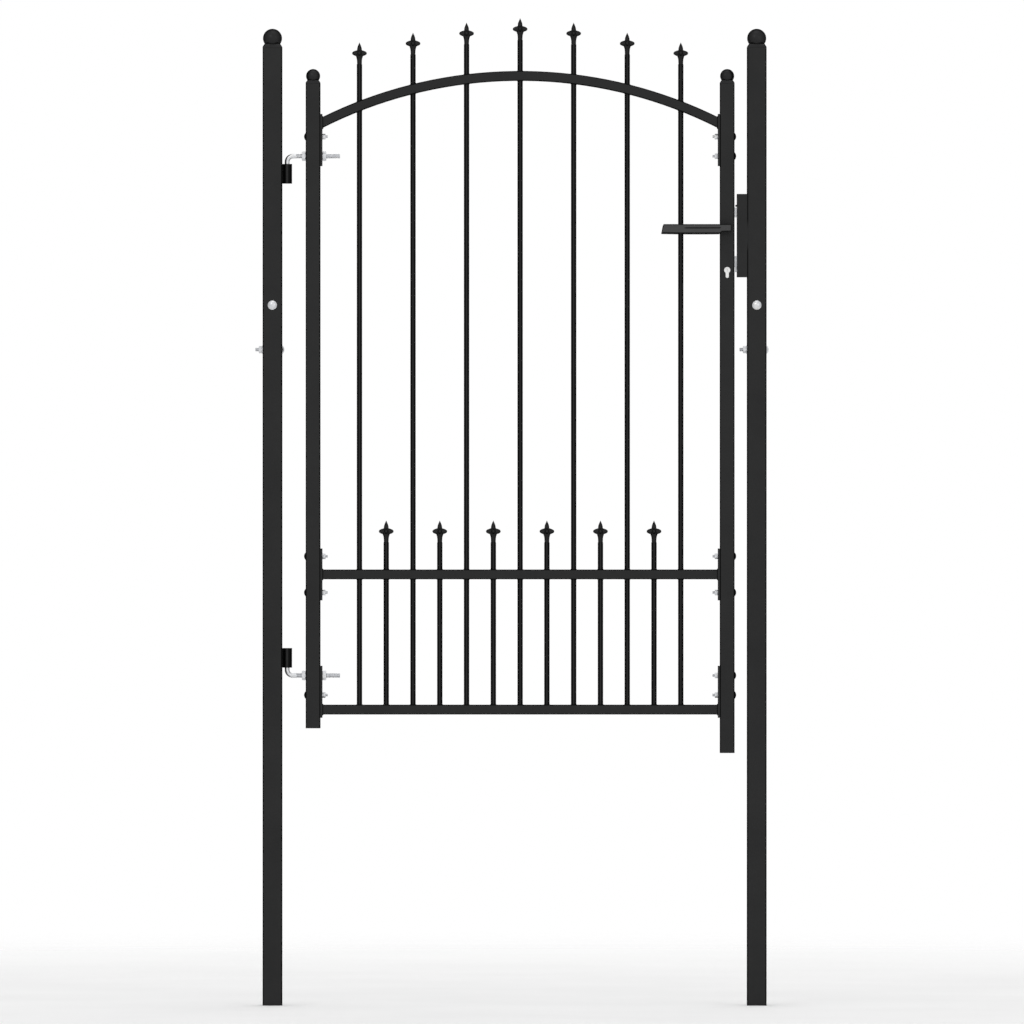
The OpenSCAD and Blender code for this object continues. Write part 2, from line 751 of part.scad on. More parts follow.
// A lever at the front of the gate: neck on the spindle, grip square to it towards -X
module lever() {
    socket_w = spindle_w + 0.1;
    neck_l = grip_y[0] - neck_root_y + 2;
    difference() {
        union() {
            rod_y(0, -grip_y[0] - 2, 0, lever_neck_r, neck_l);
            translate([0, -grip_y[0], 0]) rotate([90, 0, 0])
                linear_extrude(height = grip_y[1] - grip_y[0]) grip_outline();
        }
        translate([0, -grip_y[0] / 2, 0])
            cube([socket_w, grip_y[0] - 2, socket_w], center = true);
        translate([0, -neck_root_y - 9, -2 * lever_neck_r])
            cylinder(r = 2.5 + pin_play, h = 2 * lever_neck_r);
    }
}

module front_lever() {
    color(POWDER_BLACK) translate([lock_stile_x, 0, lever_z]) lever();
}

module back_lever() {
    color(POWDER_BLACK) translate([lock_stile_x, 0, lever_z]) mirror([0, 1, 0]) lever();
}

// The square bar that joins both levers through the follower
module spindle() {
    half_l = grip_y[0] - 1.5;
    color(ZINC) translate([lock_stile_x, 0, lever_z])
        cube([spindle_w, 2 * half_l, spindle_w], center = true);
}

// One grub screw in each lever's neck, tightened against the underside of the spindle
module lever_grub_screws() {
    color(ZINC) for (side = [-1, 1])
        translate([lock_stile_x, side * (neck_root_y + 9), lever_z - lever_neck_r + 0.5])
            cylinder(r = 2.5, h = lever_neck_r - 0.5 - spindle_w / 2);
}

// The follower: a hub with a square hole and an arm that draws the latch
module follower() {
    hole_w = spindle_w + 0.1;
    color(LOCK_STEEL) translate([lock_stile_x, 0, lever_z]) difference() {
        union() {
            rod_y(0, -case_half_y, 0, follower_r, 2 * case_half_y);
            rotate([0, arm_tilt, 0]) {
                box([-arm_half_w, -3, 0], [arm_half_w, 3, arm_reach]);
                rod_y(0, -3, arm_reach, arm_half_w, 6);
            }
        }
        cube([hole_w, 4 * case_half_y, hole_w], center = true);
    }
}

// The latch: a nose bevelled at the back, and a tail that ends in a talon
module latch_bolt() {
    tip_x = stile_edge_x + latch_throw;
    tail_half_y = 3;
    color(ZINC) {
        translate([0, 0, latch_z[0]]) linear_extrude(height = latch_z[1] - latch_z[0])
            polygon([[latch_rear_x, -latch_half_y], [tip_x, -latch_half_y], [tip_x, -3],
                [stile_edge_x + 2, latch_half_y], [latch_rear_x, latch_half_y]]);
        box([talon_x[0], -tail_half_y, latch_z[0]], [latch_rear_x, tail_half_y, latch_z[0] + 6]);
        box([talon_x[0], -tail_half_y, talon_foot_z], [talon_x[1], tail_half_y, latch_z[0]]);
    }
}

// The dead bolt, thrown: a full nose, and a tail cut away over the cylinder
module dead_bolt() {
    tip_x = stile_edge_x + bolt_throw;
    nose_rear_x = stile_edge_x + 1.2;
    notch_x = lock_stile_x + cam_reach * sin(cam_tilt);
    notch_top_z = cylinder_z + cam_reach + tooth_half_w + 0.6;
    color(ZINC) translate([0, bolt_half_y, 0]) rotate([90, 0, 0])
        linear_extrude(height = 2 * bolt_half_y) difference() {
            polygon([[nose_rear_x, bolt_z[0]], [tip_x, bolt_z[0]], [tip_x, bolt_z[1]],
                [bolt_rear_x, bolt_z[1]], [bolt_rear_x, bolt_tail_foot_z],
                [nose_rear_x, bolt_tail_foot_z]]);
            translate([notch_x, 0]) polygon([[-3.7, bolt_tail_foot_z - over],
                [3.7, bolt_tail_foot_z - over], [3.7, bolt_tail_foot_z],
                [2.1, bolt_tail_foot_z + 3.2], [2.1, notch_top_z], [-2.1, notch_top_z],
                [-2.1, bolt_tail_foot_z + 3.2], [-3.7, bolt_tail_foot_z]]);
        }
}

// The plug that the key turns, with a key slot in each end
module cylinder_plug() {
    half_l = cylinder_half_l + 0.4;
    slot_w = 1.8;
    slot_h = 6;
    slot_l = 10;
    color(NICKEL) translate([lock_stile_x, 0, cylinder_z]) difference() {
        rod_y(0, -half_l, 0, plug_r, 2 * half_l);
        for (side = [-1, 1])
            translate([0, side * half_l, 0]) cube([slot_w, 2 * slot_l, slot_h], center = true);
    }
}

// The cam pressed on the plug: its tooth works in the dead bolt's notch
module cylinder_cam() {
    color(LOCK_STEEL) translate([lock_stile_x, 0, cylinder_z]) difference() {
        union() {
            rod_y(0, -cam_half_w, 0, cam_r, 2 * cam_half_w);
            rotate([0, cam_tilt, 0]) {
                box([-tooth_half_w, -3, 0], [tooth_half_w, 3, cam_reach]);
                rod_y(0, -3, cam_reach, tooth_half_w, 6);
            }
        }
        rod_y(0, -2 * cam_half_w, 0, plug_r, 4 * cam_half_w);
    }
}

// ---------------------------------------------------------------- the gate

post(-1);  // left_post
post(1);  // right_post
post_cap(-1);  // left_post_cap
post_cap(1);  // right_post_cap
upper_hinge_barrel();
lower_hinge_barrel();
keeper();
post_bolts();
post_nuts();
post_washers();
hinge_stile();
lock_stile();
stile_cap(hinge_stile_x);  // hinge_stile_cap
stile_cap(lock_stile_x);  // lock_stile_cap
arch_rail();
middle_rail();
bottom_rail();
for (i = [1:FULL_PICKETS])
    picket(full_picket_x(i), full_tip_z(i));
for (i = [1:SHORT_PICKETS])
    picket(short_picket_x(i), short_tip_z);
picket_spears();
top_plate(-1);  // hinge_top_plate
middle_plate(-1);  // hinge_middle_plate
bottom_plate(-1);  // hinge_bottom_plate
top_plate(1);  // lock_top_plate
middle_plate(1);  // lock_middle_plate
bottom_plate(1);  // lock_bottom_plate
plate_bolts();
plate_nuts();
plate_washers();
upper_hinge_hook();
lower_hinge_hook();
hinge_nuts();
lock_case();
lock_cover();
forend();
forend_screws();
cylinder_body();
cylinder_screw();
latch_spring();
front_lever();
back_lever();
spindle();
follower();
lever_grub_screws();
latch_bolt();
dead_bolt();
cylinder_plug();
cylinder_cam();
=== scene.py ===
import json
import math

import bmesh
import bpy
from mathutils import Matrix, Vector


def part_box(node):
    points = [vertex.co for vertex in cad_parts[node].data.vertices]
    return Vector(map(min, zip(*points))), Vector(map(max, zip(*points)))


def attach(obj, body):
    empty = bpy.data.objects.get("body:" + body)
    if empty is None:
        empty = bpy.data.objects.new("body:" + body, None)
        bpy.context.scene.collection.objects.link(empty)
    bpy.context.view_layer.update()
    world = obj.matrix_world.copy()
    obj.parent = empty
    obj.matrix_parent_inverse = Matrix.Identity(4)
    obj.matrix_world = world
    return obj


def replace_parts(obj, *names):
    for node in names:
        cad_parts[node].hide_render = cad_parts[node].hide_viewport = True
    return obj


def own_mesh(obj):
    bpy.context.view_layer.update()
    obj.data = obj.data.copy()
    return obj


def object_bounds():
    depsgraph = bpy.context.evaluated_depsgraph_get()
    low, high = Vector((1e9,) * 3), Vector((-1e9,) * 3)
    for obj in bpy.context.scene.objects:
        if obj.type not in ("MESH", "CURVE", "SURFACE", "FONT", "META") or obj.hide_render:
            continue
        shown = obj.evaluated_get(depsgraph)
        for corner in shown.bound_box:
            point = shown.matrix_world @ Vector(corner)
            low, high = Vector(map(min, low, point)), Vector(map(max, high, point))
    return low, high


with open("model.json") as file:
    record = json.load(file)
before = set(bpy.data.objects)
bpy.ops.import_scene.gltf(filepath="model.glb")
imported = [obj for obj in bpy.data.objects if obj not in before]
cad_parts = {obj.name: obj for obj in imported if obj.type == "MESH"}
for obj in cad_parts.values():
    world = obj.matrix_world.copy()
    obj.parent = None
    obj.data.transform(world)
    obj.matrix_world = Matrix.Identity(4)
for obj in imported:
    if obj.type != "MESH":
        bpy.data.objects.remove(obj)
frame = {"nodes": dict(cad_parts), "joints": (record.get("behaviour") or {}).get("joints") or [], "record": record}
cad_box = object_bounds()

MM = 0.001
TAU = 2 * math.pi
NODES = frame["nodes"]
JOINTS = {j["name"]: j for j in frame["joints"]}
RECORD = frame["record"]

# ---------------------------------------------------------------- materials


def node(tree, kind, inputs=None, **settings):
    """A shader node with its settings and its unlinked input values."""
    n = tree.nodes.new(kind)
    for key, value in settings.items():
        setattr(n, key, value)
    for key, value in (inputs or {}).items():
        n.inputs[key].default_value = value
    return n


def ramp(tree, factor, stops):
    """A colour ramp from (position, grey or colour) stops."""
    n = tree.nodes.new("ShaderNodeValToRGB")
    tree.links.new(factor, n.inputs["Fac"])
    elements = n.color_ramp.elements
    while len(elements) < len(stops):
        elements.new(0.5)
    for element, (position, value) in zip(elements, stops):
        element.position = position
        colour = (value,) * 3 if isinstance(value, (int, float)) else value
        element.color = (*colour, 1.0)
    return n.outputs["Color"]


def noise(tree, where, scale, detail=3.0, roughness=0.5):
    """Cloudy noise with about scale spots to a metre."""
    n = node(tree, "ShaderNodeTexNoise",
             {"Scale": scale, "Detail": detail, "Roughness": roughness})
    tree.links.new(where, n.inputs["Vector"])
    return n.outputs["Fac"]


# The places of a Mix node's colour sockets
MIX_FACTOR, MIX_A, MIX_B, MIX_RESULT = 0, 6, 7, 2


def mix(tree, factor, a, b, blend="MIX"):
    """A colour mix. factor, a and b are sockets or values."""
    n = node(tree, "ShaderNodeMix", data_type="RGBA", blend_type=blend)
    for index, value in ((MIX_FACTOR, factor), (MIX_A, a), (MIX_B, b)):
        if isinstance(value, bpy.types.NodeSocket):
            tree.links.new(value, n.inputs[index])
        elif index == MIX_FACTOR:
            n.inputs[index].default_value = value
        else:
            n.inputs[index].default_value = (*value, 1.0)
    return n.outputs[MIX_RESULT]


def material(name, metallic=0.0, specular=0.5, rim=1.0):
    """A material with a Principled shader, its object coordinates and its node tree.
    rim is how strongly it reflects at a glancing angle."""
    m = bpy.data.materials.new(name)
    m.use_nodes = True
    tree = m.node_tree
    shader = tree.nodes["Principled BSDF"]
    shader.inputs["Metallic"].default_value = metallic
    shader.inputs["Specular IOR Level"].default_value = specular
    shader.inputs["Specular Tint"].default_value = (rim, rim, rim, 1.0)
    where = tree.nodes.new("ShaderNodeTexCoord").outputs["Object"]
    return m, tree, shader, where


def shaded_edges(tree, colour, least):
    """Darkens a colour with painted shade where the surface faces neither straight forward or back nor
    sideways: on the rounded corners of the tubes, the flanks of the pickets and the hollows of the spears."""
    turned = tree.nodes.new("ShaderNodeTexCoord").outputs["Normal"]
    parts = tree.nodes.new("ShaderNodeSeparateXYZ")
    tree.links.new(turned, parts.inputs["Vector"])
    forward = node(tree, "ShaderNodeMath", operation="ABSOLUTE")
    tree.links.new(parts.outputs["Y"], forward.inputs[0])
    # Painted shade: the colour falls to least on surfaces turned part way from straight forward or back
    shade = ramp(tree, forward.outputs["Value"],
                 [(0.06, 1.0), (0.35, least), (0.965, least), (0.998, 1.0)])
    return mix(tree, 1.0, colour, shade, "MULTIPLY")


def bump(tree, shader, layers):
    """Stacks (height, distance in metres, strength) layers into the shader's normal."""
    normal = None
    for height, distance, strength in layers:
        n = node(tree, "ShaderNodeBump", {"Distance": distance, "Strength": strength})
        tree.links.new(height, n.inputs["Height"])
        if normal is not None:
            tree.links.new(normal, n.inputs["Normal"])
        normal = n.outputs["Normal"]
    tree.links.new(normal, shader.inputs["Normal"])


def powder_coat(name, edge, lift=1.0):
    """Satin black powder coat: fine orange peel, a slightly cloudy gloss and a trace of dust.
    edge is how light its rounded edges stay under the painted edge shade, lift how much lighter the whole coat is."""
    m, tree, shader, where = material(name, metallic=0.9, specular=0.3, rim=0.0)
    clouds = noise(tree, where, 9.0, 4.0, 0.6)
    film = noise(tree, where, 55.0, 5.0, 0.6)
    specks = noise(tree, where, 1900.0, 2.0, 0.5)
    darker, lighter = (0.0285, 0.0287, 0.029), (0.0325, 0.0327, 0.0327)
    base = ramp(tree, clouds, [(0.3, [lift * v for v in darker]),
                               (0.7, [lift * v for v in lighter])])
    dust = ramp(tree, specks, [(0.74, 0.0), (0.86, 0.55)])
    colour = mix(tree, dust, base, (0.055, 0.054, 0.052))
    # Painted shade on the rounded edges, the picket flanks and the spear hollows, set by how the surface is turned
    colour = shaded_edges(tree, colour, edge)
    tree.links.new(colour, shader.inputs["Base Color"])
    gloss = ramp(tree, film, [(0.25, 0.36), (0.75, 0.5)])
    tree.links.new(gloss, shader.inputs["Roughness"])
    peel = noise(tree, where, 620.0, 2.0, 0.45)
    grit = noise(tree, where, 2600.0, 2.0, 0.5)
    bump(tree, shader, [(peel, 0.00022, 0.32), (grit, 0.00006, 0.25)])
    return m


def black_plastic():
    """Injection-moulded black plastic, a little glossier than the coat, with a fine grain."""
    m, tree, shader, where = material("black_plastic", metallic=0.9, specular=0.3, rim=0.0)
    clouds = noise(tree, where, 30.0, 3.0, 0.5)
    base = ramp(tree, clouds, [(0.3, (0.027, 0.027, 0.0275)), (0.7, (0.0305, 0.0305, 0.031))])
    tree.links.new(base, shader.inputs["Base Color"])
    grain = noise(tree, where, 1500.0, 3.0, 0.6)
    tree.links.new(ramp(tree, grain, [(0.3, 0.3), (0.7, 0.44)]), shader.inputs["Roughness"])
    bump(tree, shader, [(grain, 0.00005, 0.4)])
    return m


def zinc_plate():
    """Bright zinc plating: crystalline clouding, a cool tint and faint drawing marks."""
    m, tree, shader, where = material("zinc_plate", metallic=1.0)
    clouds = noise(tree, where, 70.0, 4.0, 0.6)
    spangle = node(tree, "ShaderNodeTexVoronoi", {"Scale": 420.0})
    tree.links.new(where, spangle.inputs["Vector"])
    base = ramp(tree, clouds, [(0.3, (0.62, 0.63, 0.65)), (0.55, (0.76, 0.77, 0.79)),
                               (0.75, (0.8, 0.79, 0.765))])
    grey = ramp(tree, spangle.outputs["Distance"], [(0.0, 0.86), (0.7, 1.0)])
    tree.links.new(mix(tree, 1.0, base, grey, "MULTIPLY"), shader.inputs["Base Color"])
    fine = noise(tree, where, 900.0, 3.0, 0.6)
    tree.links.new(ramp(tree, fine, [(0.3, 0.24), (0.7, 0.4)]), shader.inputs["Roughness"])
    bump(tree, shader, [(fine, 0.00005, 0.35)])
    return m


def lock_steel():
    """Galvanised sheet: soft spangles and a dull sheen."""
    m, tree, shader, where = material("lock_steel", metallic=1.0)
    spangle = node(tree, "ShaderNodeTexVoronoi", {"Scale": 110.0})
    tree.links.new(where, spangle.inputs["Vector"])
    base = ramp(tree, spangle.outputs["Distance"],
                [(0.0, (0.42, 0.43, 0.45)), (0.8, (0.56, 0.57, 0.58))])
    tree.links.new(base, shader.inputs["Base Color"])
    fine = noise(tree, where, 500.0, 3.0, 0.6)
    tree.links.new(ramp(tree, fine, [(0.3, 0.38), (0.7, 0.55)]), shader.inputs["Roughness"])
    bump(tree, shader, [(fine, 0.00004, 0.3)])
    return m


def nickel_plate(axis_x, axis_z):
    """Satin nickel with the fine rings of a turned face, centred on the plug's axis."""
    m, tree, shader, where = material("nickel_plate", metallic=1.0)
    centred = node(tree, "ShaderNodeMapping", {"Location": (-axis_x, 0.0, -axis_z)})
    tree.links.new(where, centred.inputs["Vector"])
    rings = node(tree, "ShaderNodeTexWave", {"Scale": 700.0, "Distortion": 0.4, "Detail": 1.0},
                 wave_type="RINGS", rings_direction="Y")
    tree.links.new(centred.outputs["Vector"], rings.inputs["Vector"])
    smudge = noise(tree, where, 260.0, 3.0, 0.6)
    base = ramp(tree, smudge, [(0.3, (0.76, 0.76, 0.75)), (0.7, (0.88, 0.88, 0.87))])
    tree.links.new(base, shader.inputs["Base Color"])
    tree.links.new(ramp(tree, smudge, [(0.3, 0.2), (0.7, 0.34)]), shader.inputs["Roughness"])
    bump(tree, shader, [(rings.outputs["Fac"], 0.00002, 0.35)])
    return m


# ---------------------------------------------------------------- mesh helpers


def make_mesh(name, bm, finish, smooth_angle):
    """Turns bmesh bm into a mesh of one material that is shaded smooth over its shallow edges."""
    bmesh.ops.recalc_face_normals(bm, faces=bm.faces)
    limit = math.radians(smooth_angle)
    for face in bm.faces:
        face.smooth = True
    for edge in bm.edges:
        if len(edge.link_faces) == 2:
            edge.smooth = edge.calc_face_angle(0.0) < limit
    mesh = bpy.data.meshes.new(name)
    bm.to_mesh(mesh)
    bm.free()
    mesh.materials.append(MATERIALS[finish])
    return mesh


def place(name, mesh, body, location=(0, 0, 0)):
    """Makes a piece of a mesh. It rides on a body and keeps the mesh's material."""
    piece = bpy.data.objects.new(name, mesh)
    bpy.context.scene.collection.objects.link(piece)
    piece.location = location
    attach(piece, body)
    return piece


def add_piece(name, bm, body, slot, smooth_angle=40.0, finish=None):
    """Makes a piece of bmesh bm, in the slot's material or in a variant of it named finish."""
    return place(name, make_mesh(name, bm, finish or slot, smooth_angle), body)


def loft(bm, rings, closed=False):
    """Joins rings of equal length into a closed skin. Each ring is a list of points. The last ring
    meets the first if closed, and both are capped if not."""
    verts = [[bm.verts.new(p) for p in ring] for ring in rings]
    count = len(rings[0])
    pairs = list(zip(verts, verts[1:]))
    if closed:
        pairs.append((verts[-1], verts[0]))
    for a, b in pairs:
        for i in range(count):
            j = (i + 1) % count
            bm.faces.new((a[i], a[j], b[j], b[i]))
    if not closed:
        bm.faces.new(list(reversed(verts[0])))
        bm.faces.new(verts[-1])


def sweep(bm, path, radius, sides, closed=False):
    """A tube along path. radius(i, k) is the radius of ring i at side k."""
    count = len(path)
    rings, across = [], None
    for i, point in enumerate(path):
        ahead = path[(i + 1) % count] if closed or i + 1 < count else point
        behind = path[i - 1] if closed or i else point
        along = (ahead - behind).normalized()
        if across is None:
            across = along.orthogonal()
        across = (across - along * across.dot(along)).normalized()
        up = along.cross(across)
        rings.append([point + radius(i, k) * (across * math.cos(TAU * k / sides)
                                              + up * math.sin(TAU * k / sides))
                      for k in range(sides)])
    loft(bm, rings, closed)


# A thread's depth as a share of its pitch, the rings in each turn, how steep its flanks are and
# how wide its crest is
THREAD_DEPTH, THREAD_STEPS = 0.5, 8
FLANK_SLOPE, CREST_WIDTH = 1.35, 0.12
# How far a rod's ends are chamfered, how steep the near end's chamfer is, and the least radius
CHAMFER, NEAR_SLOPE, LEAST_R = 0.6 * MM, 0.6, 0.2 * MM


def thread_cut(s, k, sides, pitch, start, end):
    """How deep a screw thread cuts at distance s along a rod and side k of its ring."""
    phase = (s / pitch + k / sides) % 1.0
    tooth = FLANK_SLOPE * (1.0 - abs(2.0 * phase - 1.0)) - CREST_WIDTH
    fade = min(1.0, max(0.0, (s - start) / pitch)) * (1.0 if s < end else 0.0)
    return THREAD_DEPTH * pitch * min(1.0, max(0.0, tooth)) * fade


def rod_radius(stations, r, sides, pitch, start):
    """A radius function for a rod that is threaded from start to its chamfered far end."""
    end = stations[-1]

    def radius(i, k):
        s = stations[i]
        cut = thread_cut(s, k, sides, pitch, start, end)
        bevelled = max(0.0, CHAMFER - (end - s)) + NEAR_SLOPE * max(0.0, CHAMFER - s)
        return max(LEAST_R, min(r - cut, r - bevelled))

    return radius


def measured(path):
    """The distance of each point of a path from its start."""
    lengths = [0.0]
    for a, b in zip(path, path[1:]):
        lengths.append(lengths[-1] + (b - a).length)
    return lengths


BEAD_STEP, BEAD_SIDES = 0.6 * MM, 8


def bead_run(bm, path, r, closed=False, ripple=2.4 * MM):
    """A welded bead along path: a tube with the small ripples that a weld pool leaves, a slow
    unevenness and, on an open run, narrow ends."""
    lengths = measured(path)
    total = lengths[-1]

    def radius(i, k):
        s = lengths[i]
        ripples = 0.13 * math.sin(TAU * s / ripple)
        uneven = 0.05 * math.sin(9.7 * TAU * s / total + 1.3)
        swell = r * (1.0 + ripples + uneven)
        if closed:
            return swell
        ends = min(1.0, min(s, total - s) / (1.2 * r) + 0.25)
        return swell * math.sqrt(ends)

    sweep(bm, path, radius, BEAD_SIDES, closed)


def line(a, b, step):
    """Points from a to b, about a step apart."""
    count = max(2, int((b - a).length / step))
    return [a.lerp(b, i / count) for i in range(count + 1)]


def polyline(corners, step):
    """Points along a closed loop of corners, about a step apart."""
    points = []
    for a, b in zip(corners, corners[1:] + corners[:1]):
        points += line(a, b, step)[:-1]
    return points


def circle(centre, r, count, tilt=0.0):
    """A level circle, or one sheared so that it rises by tilt along X."""
    points = []
    for k in range(count):
        x, y = r * math.cos(TAU * k / count), r * math.sin(TAU * k / count)
        points.append(centre + Vector((x, y, tilt * x)))
    return points


def bevel(name, width):
    """Rounds a CAD node's edges with a modifier, which leaves its mesh as it is."""
    m = NODES[name].modifiers.new("edge", "BEVEL")
    m.width, m.segments = width, 3
    m.limit_method, m.angle_limit = "ANGLE", math.radians(35.0)
    m.harden_normals = True


# ---------------------------------------------------------------- where things are

hinge_axis = Vector(JOINTS["leaf_swing"]["pos_m"])
lever_axis = Vector(JOINTS["handle_turn"]["pos_m"])
key_axis = Vector(JOINTS["key_turn"]["pos_m"])

# Each coat's second number is how light its painted edge shade leaves the rounded edges: weaker on the spears and
# the plate bolts' heads; the levers' coat is also lighter all over
MATERIALS = {
    "powder_coat": powder_coat("powder_coat", 0.28),
    "coated_castings": powder_coat("coated_castings", 0.75),
    "coated_levers": powder_coat("coated_levers", 0.2, 2.2),
    "black_plastic": black_plastic(),
    "zinc_plate": zinc_plate(),
    "lock_steel": lock_steel(),
    "nickel_plate": nickel_plate(key_axis.x, key_axis.z),
}
for row in RECORD["subparts"]:
    slots = NODES[row["node"]].data.materials
    slots.clear()
    slots.append(MATERIALS[row["material_slot"]])

# How far the CAD pieces' edges are rounded, in millimetres
EDGES = {
    "keeper": 1.2, "upper_hinge_barrel": 0.7, "lower_hinge_barrel": 0.7,
    "hinge_top_plate": 0.6, "hinge_middle_plate": 0.6, "hinge_bottom_plate": 0.6,
    "lock_top_plate": 0.6, "lock_middle_plate": 0.6, "lock_bottom_plate": 0.6,
    "post_washers": 0.25, "plate_washers": 0.25, "post_nuts": 0.2, "plate_nuts": 0.15,
    "hinge_nuts": 0.25, "cylinder_body": 0.3, "cylinder_plug": 0.25, "latch_bolt": 0.5,
    "dead_bolt": 0.5, "forend": 0.15,
}
for name, width in EDGES.items():
    bevel(name, width * MM)

# ---------------------------------------------------------------- spears

# All in millimetres. A spear's height above its tube, and the radius of its core at distances
# below its tip
SPEAR_H = 44.5
SPEAR_CORE = ((0, 0.25), (2, 0.95), (4, 1.95), (6, 2.85), (8, 3.6), (10, 4.25), (12, 4.65),
              (14, 4.85), (17, 4.95), (20, 5.2), (24, 6.3), (28, 7.1), (30, 6.6), (33, 5.6),
              (37, 5.1), (44.3, 4.8))
# The four lobes: how far they are below the tip, and how far their ends and their roots are from
# the axis
LOBE_DEPTH, LOBE_REACH, LOBE_ROOT = 22.0, 15.0, 3.4
# Half their height, half their width at a distance from the axis, and how softly they blend into
# the core
LOBE_HALF_H, LOBE_HALF_W, LOBE_W_AT, LOBE_BLEND = 6.7, 5.4, 10.0, 0.45
# The spigot in the tube: its radius, and where it starts and ends
SPIGOT_R, SPIGOT_START, SPIGOT_END = 4.4, 44.9, 56.0


def spear_core(depth):
    """The core's radius at a distance below the tip."""
    for (d0, r0), (d1, r1) in zip(SPEAR_CORE, SPEAR_CORE[1:]):
        if depth <= d1:
            t = (depth - d0) / (d1 - d0)
            return r0 + (r1 - r0) * t
    return SPEAR_CORE[-1][1]


def spear_radius(depth, angle):
    """Distance of a spear's surface from its axis, in millimetres: the core blended with four
    lobes that narrow to a blunt point."""
    core = spear_core(depth)
    from_lobe = (angle + TAU / 8) % (TAU / 4) - TAU / 8
    rise = (depth - LOBE_DEPTH) / LOBE_HALF_H
    side = LOBE_W_AT * math.sin(from_lobe) / LOBE_HALF_W
    out = 1.0 - (rise * rise + side * side) ** 1.25
    if out <= 0.0:
        return core
    lobe = LOBE_ROOT + (LOBE_REACH - LOBE_ROOT) * out
    return math.log(math.exp(core / LOBE_BLEND) + math.exp(lobe / LOBE_BLEND)) * LOBE_BLEND


def spear_mesh():
    """A spear with its tip at the origin. It points up."""
    bm = bmesh.new()
    sides, rings = 72, []
    near_tip, below = [0.0, 0.35, 0.8, 1.4], [2.0 + 0.55 * i for i in range(78)]
    for depth in near_tip + below:
        rings.append([])
        for k in range(sides):
            a = TAU * k / sides
            r = spear_radius(depth, a)
            rings[-1].append(Vector((r * math.cos(a), r * math.sin(a), -depth)) * MM)
    for depth in (SPIGOT_START, SPIGOT_END):
        rings.append(circle(Vector((0, 0, -depth * MM)), SPIGOT_R * MM, sides))
    loft(bm, rings)
    return make_mesh("spear", bm, "coated_castings", 180.0)


spear = spear_mesh()
picket_names = [f"picket_{i}" for i in range(1, 8)]
picket_names += [f"short_picket_{i}" for i in range(1, 7)]
for i, name in enumerate(picket_names):
    lo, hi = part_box(name)
    tip = Vector(((lo.x + hi.x) / 2, 0, hi.z + SPEAR_H * MM))
    piece = place(f"spear_{i + 1}", spear, "leaf", tip)
    if i == 0:
        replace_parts(piece, "picket_spears")

# ---------------------------------------------------------------- hinge hooks

# The bend's radius to the rod's middle, the plain rod between bend and thread, and M10's pitch
HOOK_BEND_R, HOOK_PLAIN, HOOK_PITCH = 11.5 * MM, 7 * MM, 1.5 * MM
HOOK_SIDES, BEND_STEPS = 28, 20


def hinge_hook(name, pin_down):
    """A bent rod: a pin in the barrel, a bend, and a leg that is threaded through the stile."""
    lo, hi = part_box(name)
    r = (hi.y - lo.y) / 2
    leg_z = hi.z - r if pin_down else lo.z + r
    pin_end = lo.z if pin_down else hi.z
    sign = 1 if pin_down else -1
    bend = Vector((hinge_axis.x + HOOK_BEND_R, 0, leg_z - sign * HOOK_BEND_R))
    path = line(Vector((hinge_axis.x, 0, pin_end)), Vector((hinge_axis.x, 0, bend.z)), 1.5 * MM)
    # Two more rings, so that the pin's end is chamfered
    path[1:1] = [path[0] + Vector((0, 0, sign * d * MM)) for d in (0.35, 0.8)]
    for i in range(1, BEND_STEPS):
        a = math.pi * (1 - i / (2 * BEND_STEPS))
        path.append(bend + Vector((math.cos(a), 0, sign * math.sin(a))) * HOOK_BEND_R)
    path += line(Vector((bend.x, 0, leg_z)), Vector((hi.x, 0, leg_z)), HOOK_PITCH / THREAD_STEPS)
    stations = measured(path)
    leg_start = stations[-1] - (hi.x - bend.x)
    radius = rod_radius(stations, r, HOOK_SIDES, HOOK_PITCH, leg_start + HOOK_PLAIN)
    bm = bmesh.new()
    sweep(bm, path, radius, HOOK_SIDES)
    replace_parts(add_piece(name + "_threaded", bm, "leaf", "zinc_plate", 60.0), name)


hinge_hook("upper_hinge_hook", True)
hinge_hook("lower_hinge_hook", False)

# ---------------------------------------------------------------- carriage bolts

# Thread radius, head radius, head height, length and pitch of each size of carriage bolt
M8_BOLT = (4 * MM, 9.5 * MM, 4.5 * MM, 55 * MM, 1.25 * MM)
M6_BOLT = (3 * MM, 8 * MM, 3.5 * MM, 45 * MM, 1.0 * MM)
BOLT_SIDES, DOME_STEPS, SHANK_STEP = 24, 10, 4 * MM
# The thread's length in diameters, and the square neck's in radii
THREAD_LENGTH, NECK_LENGTH = 2.4, 0.8


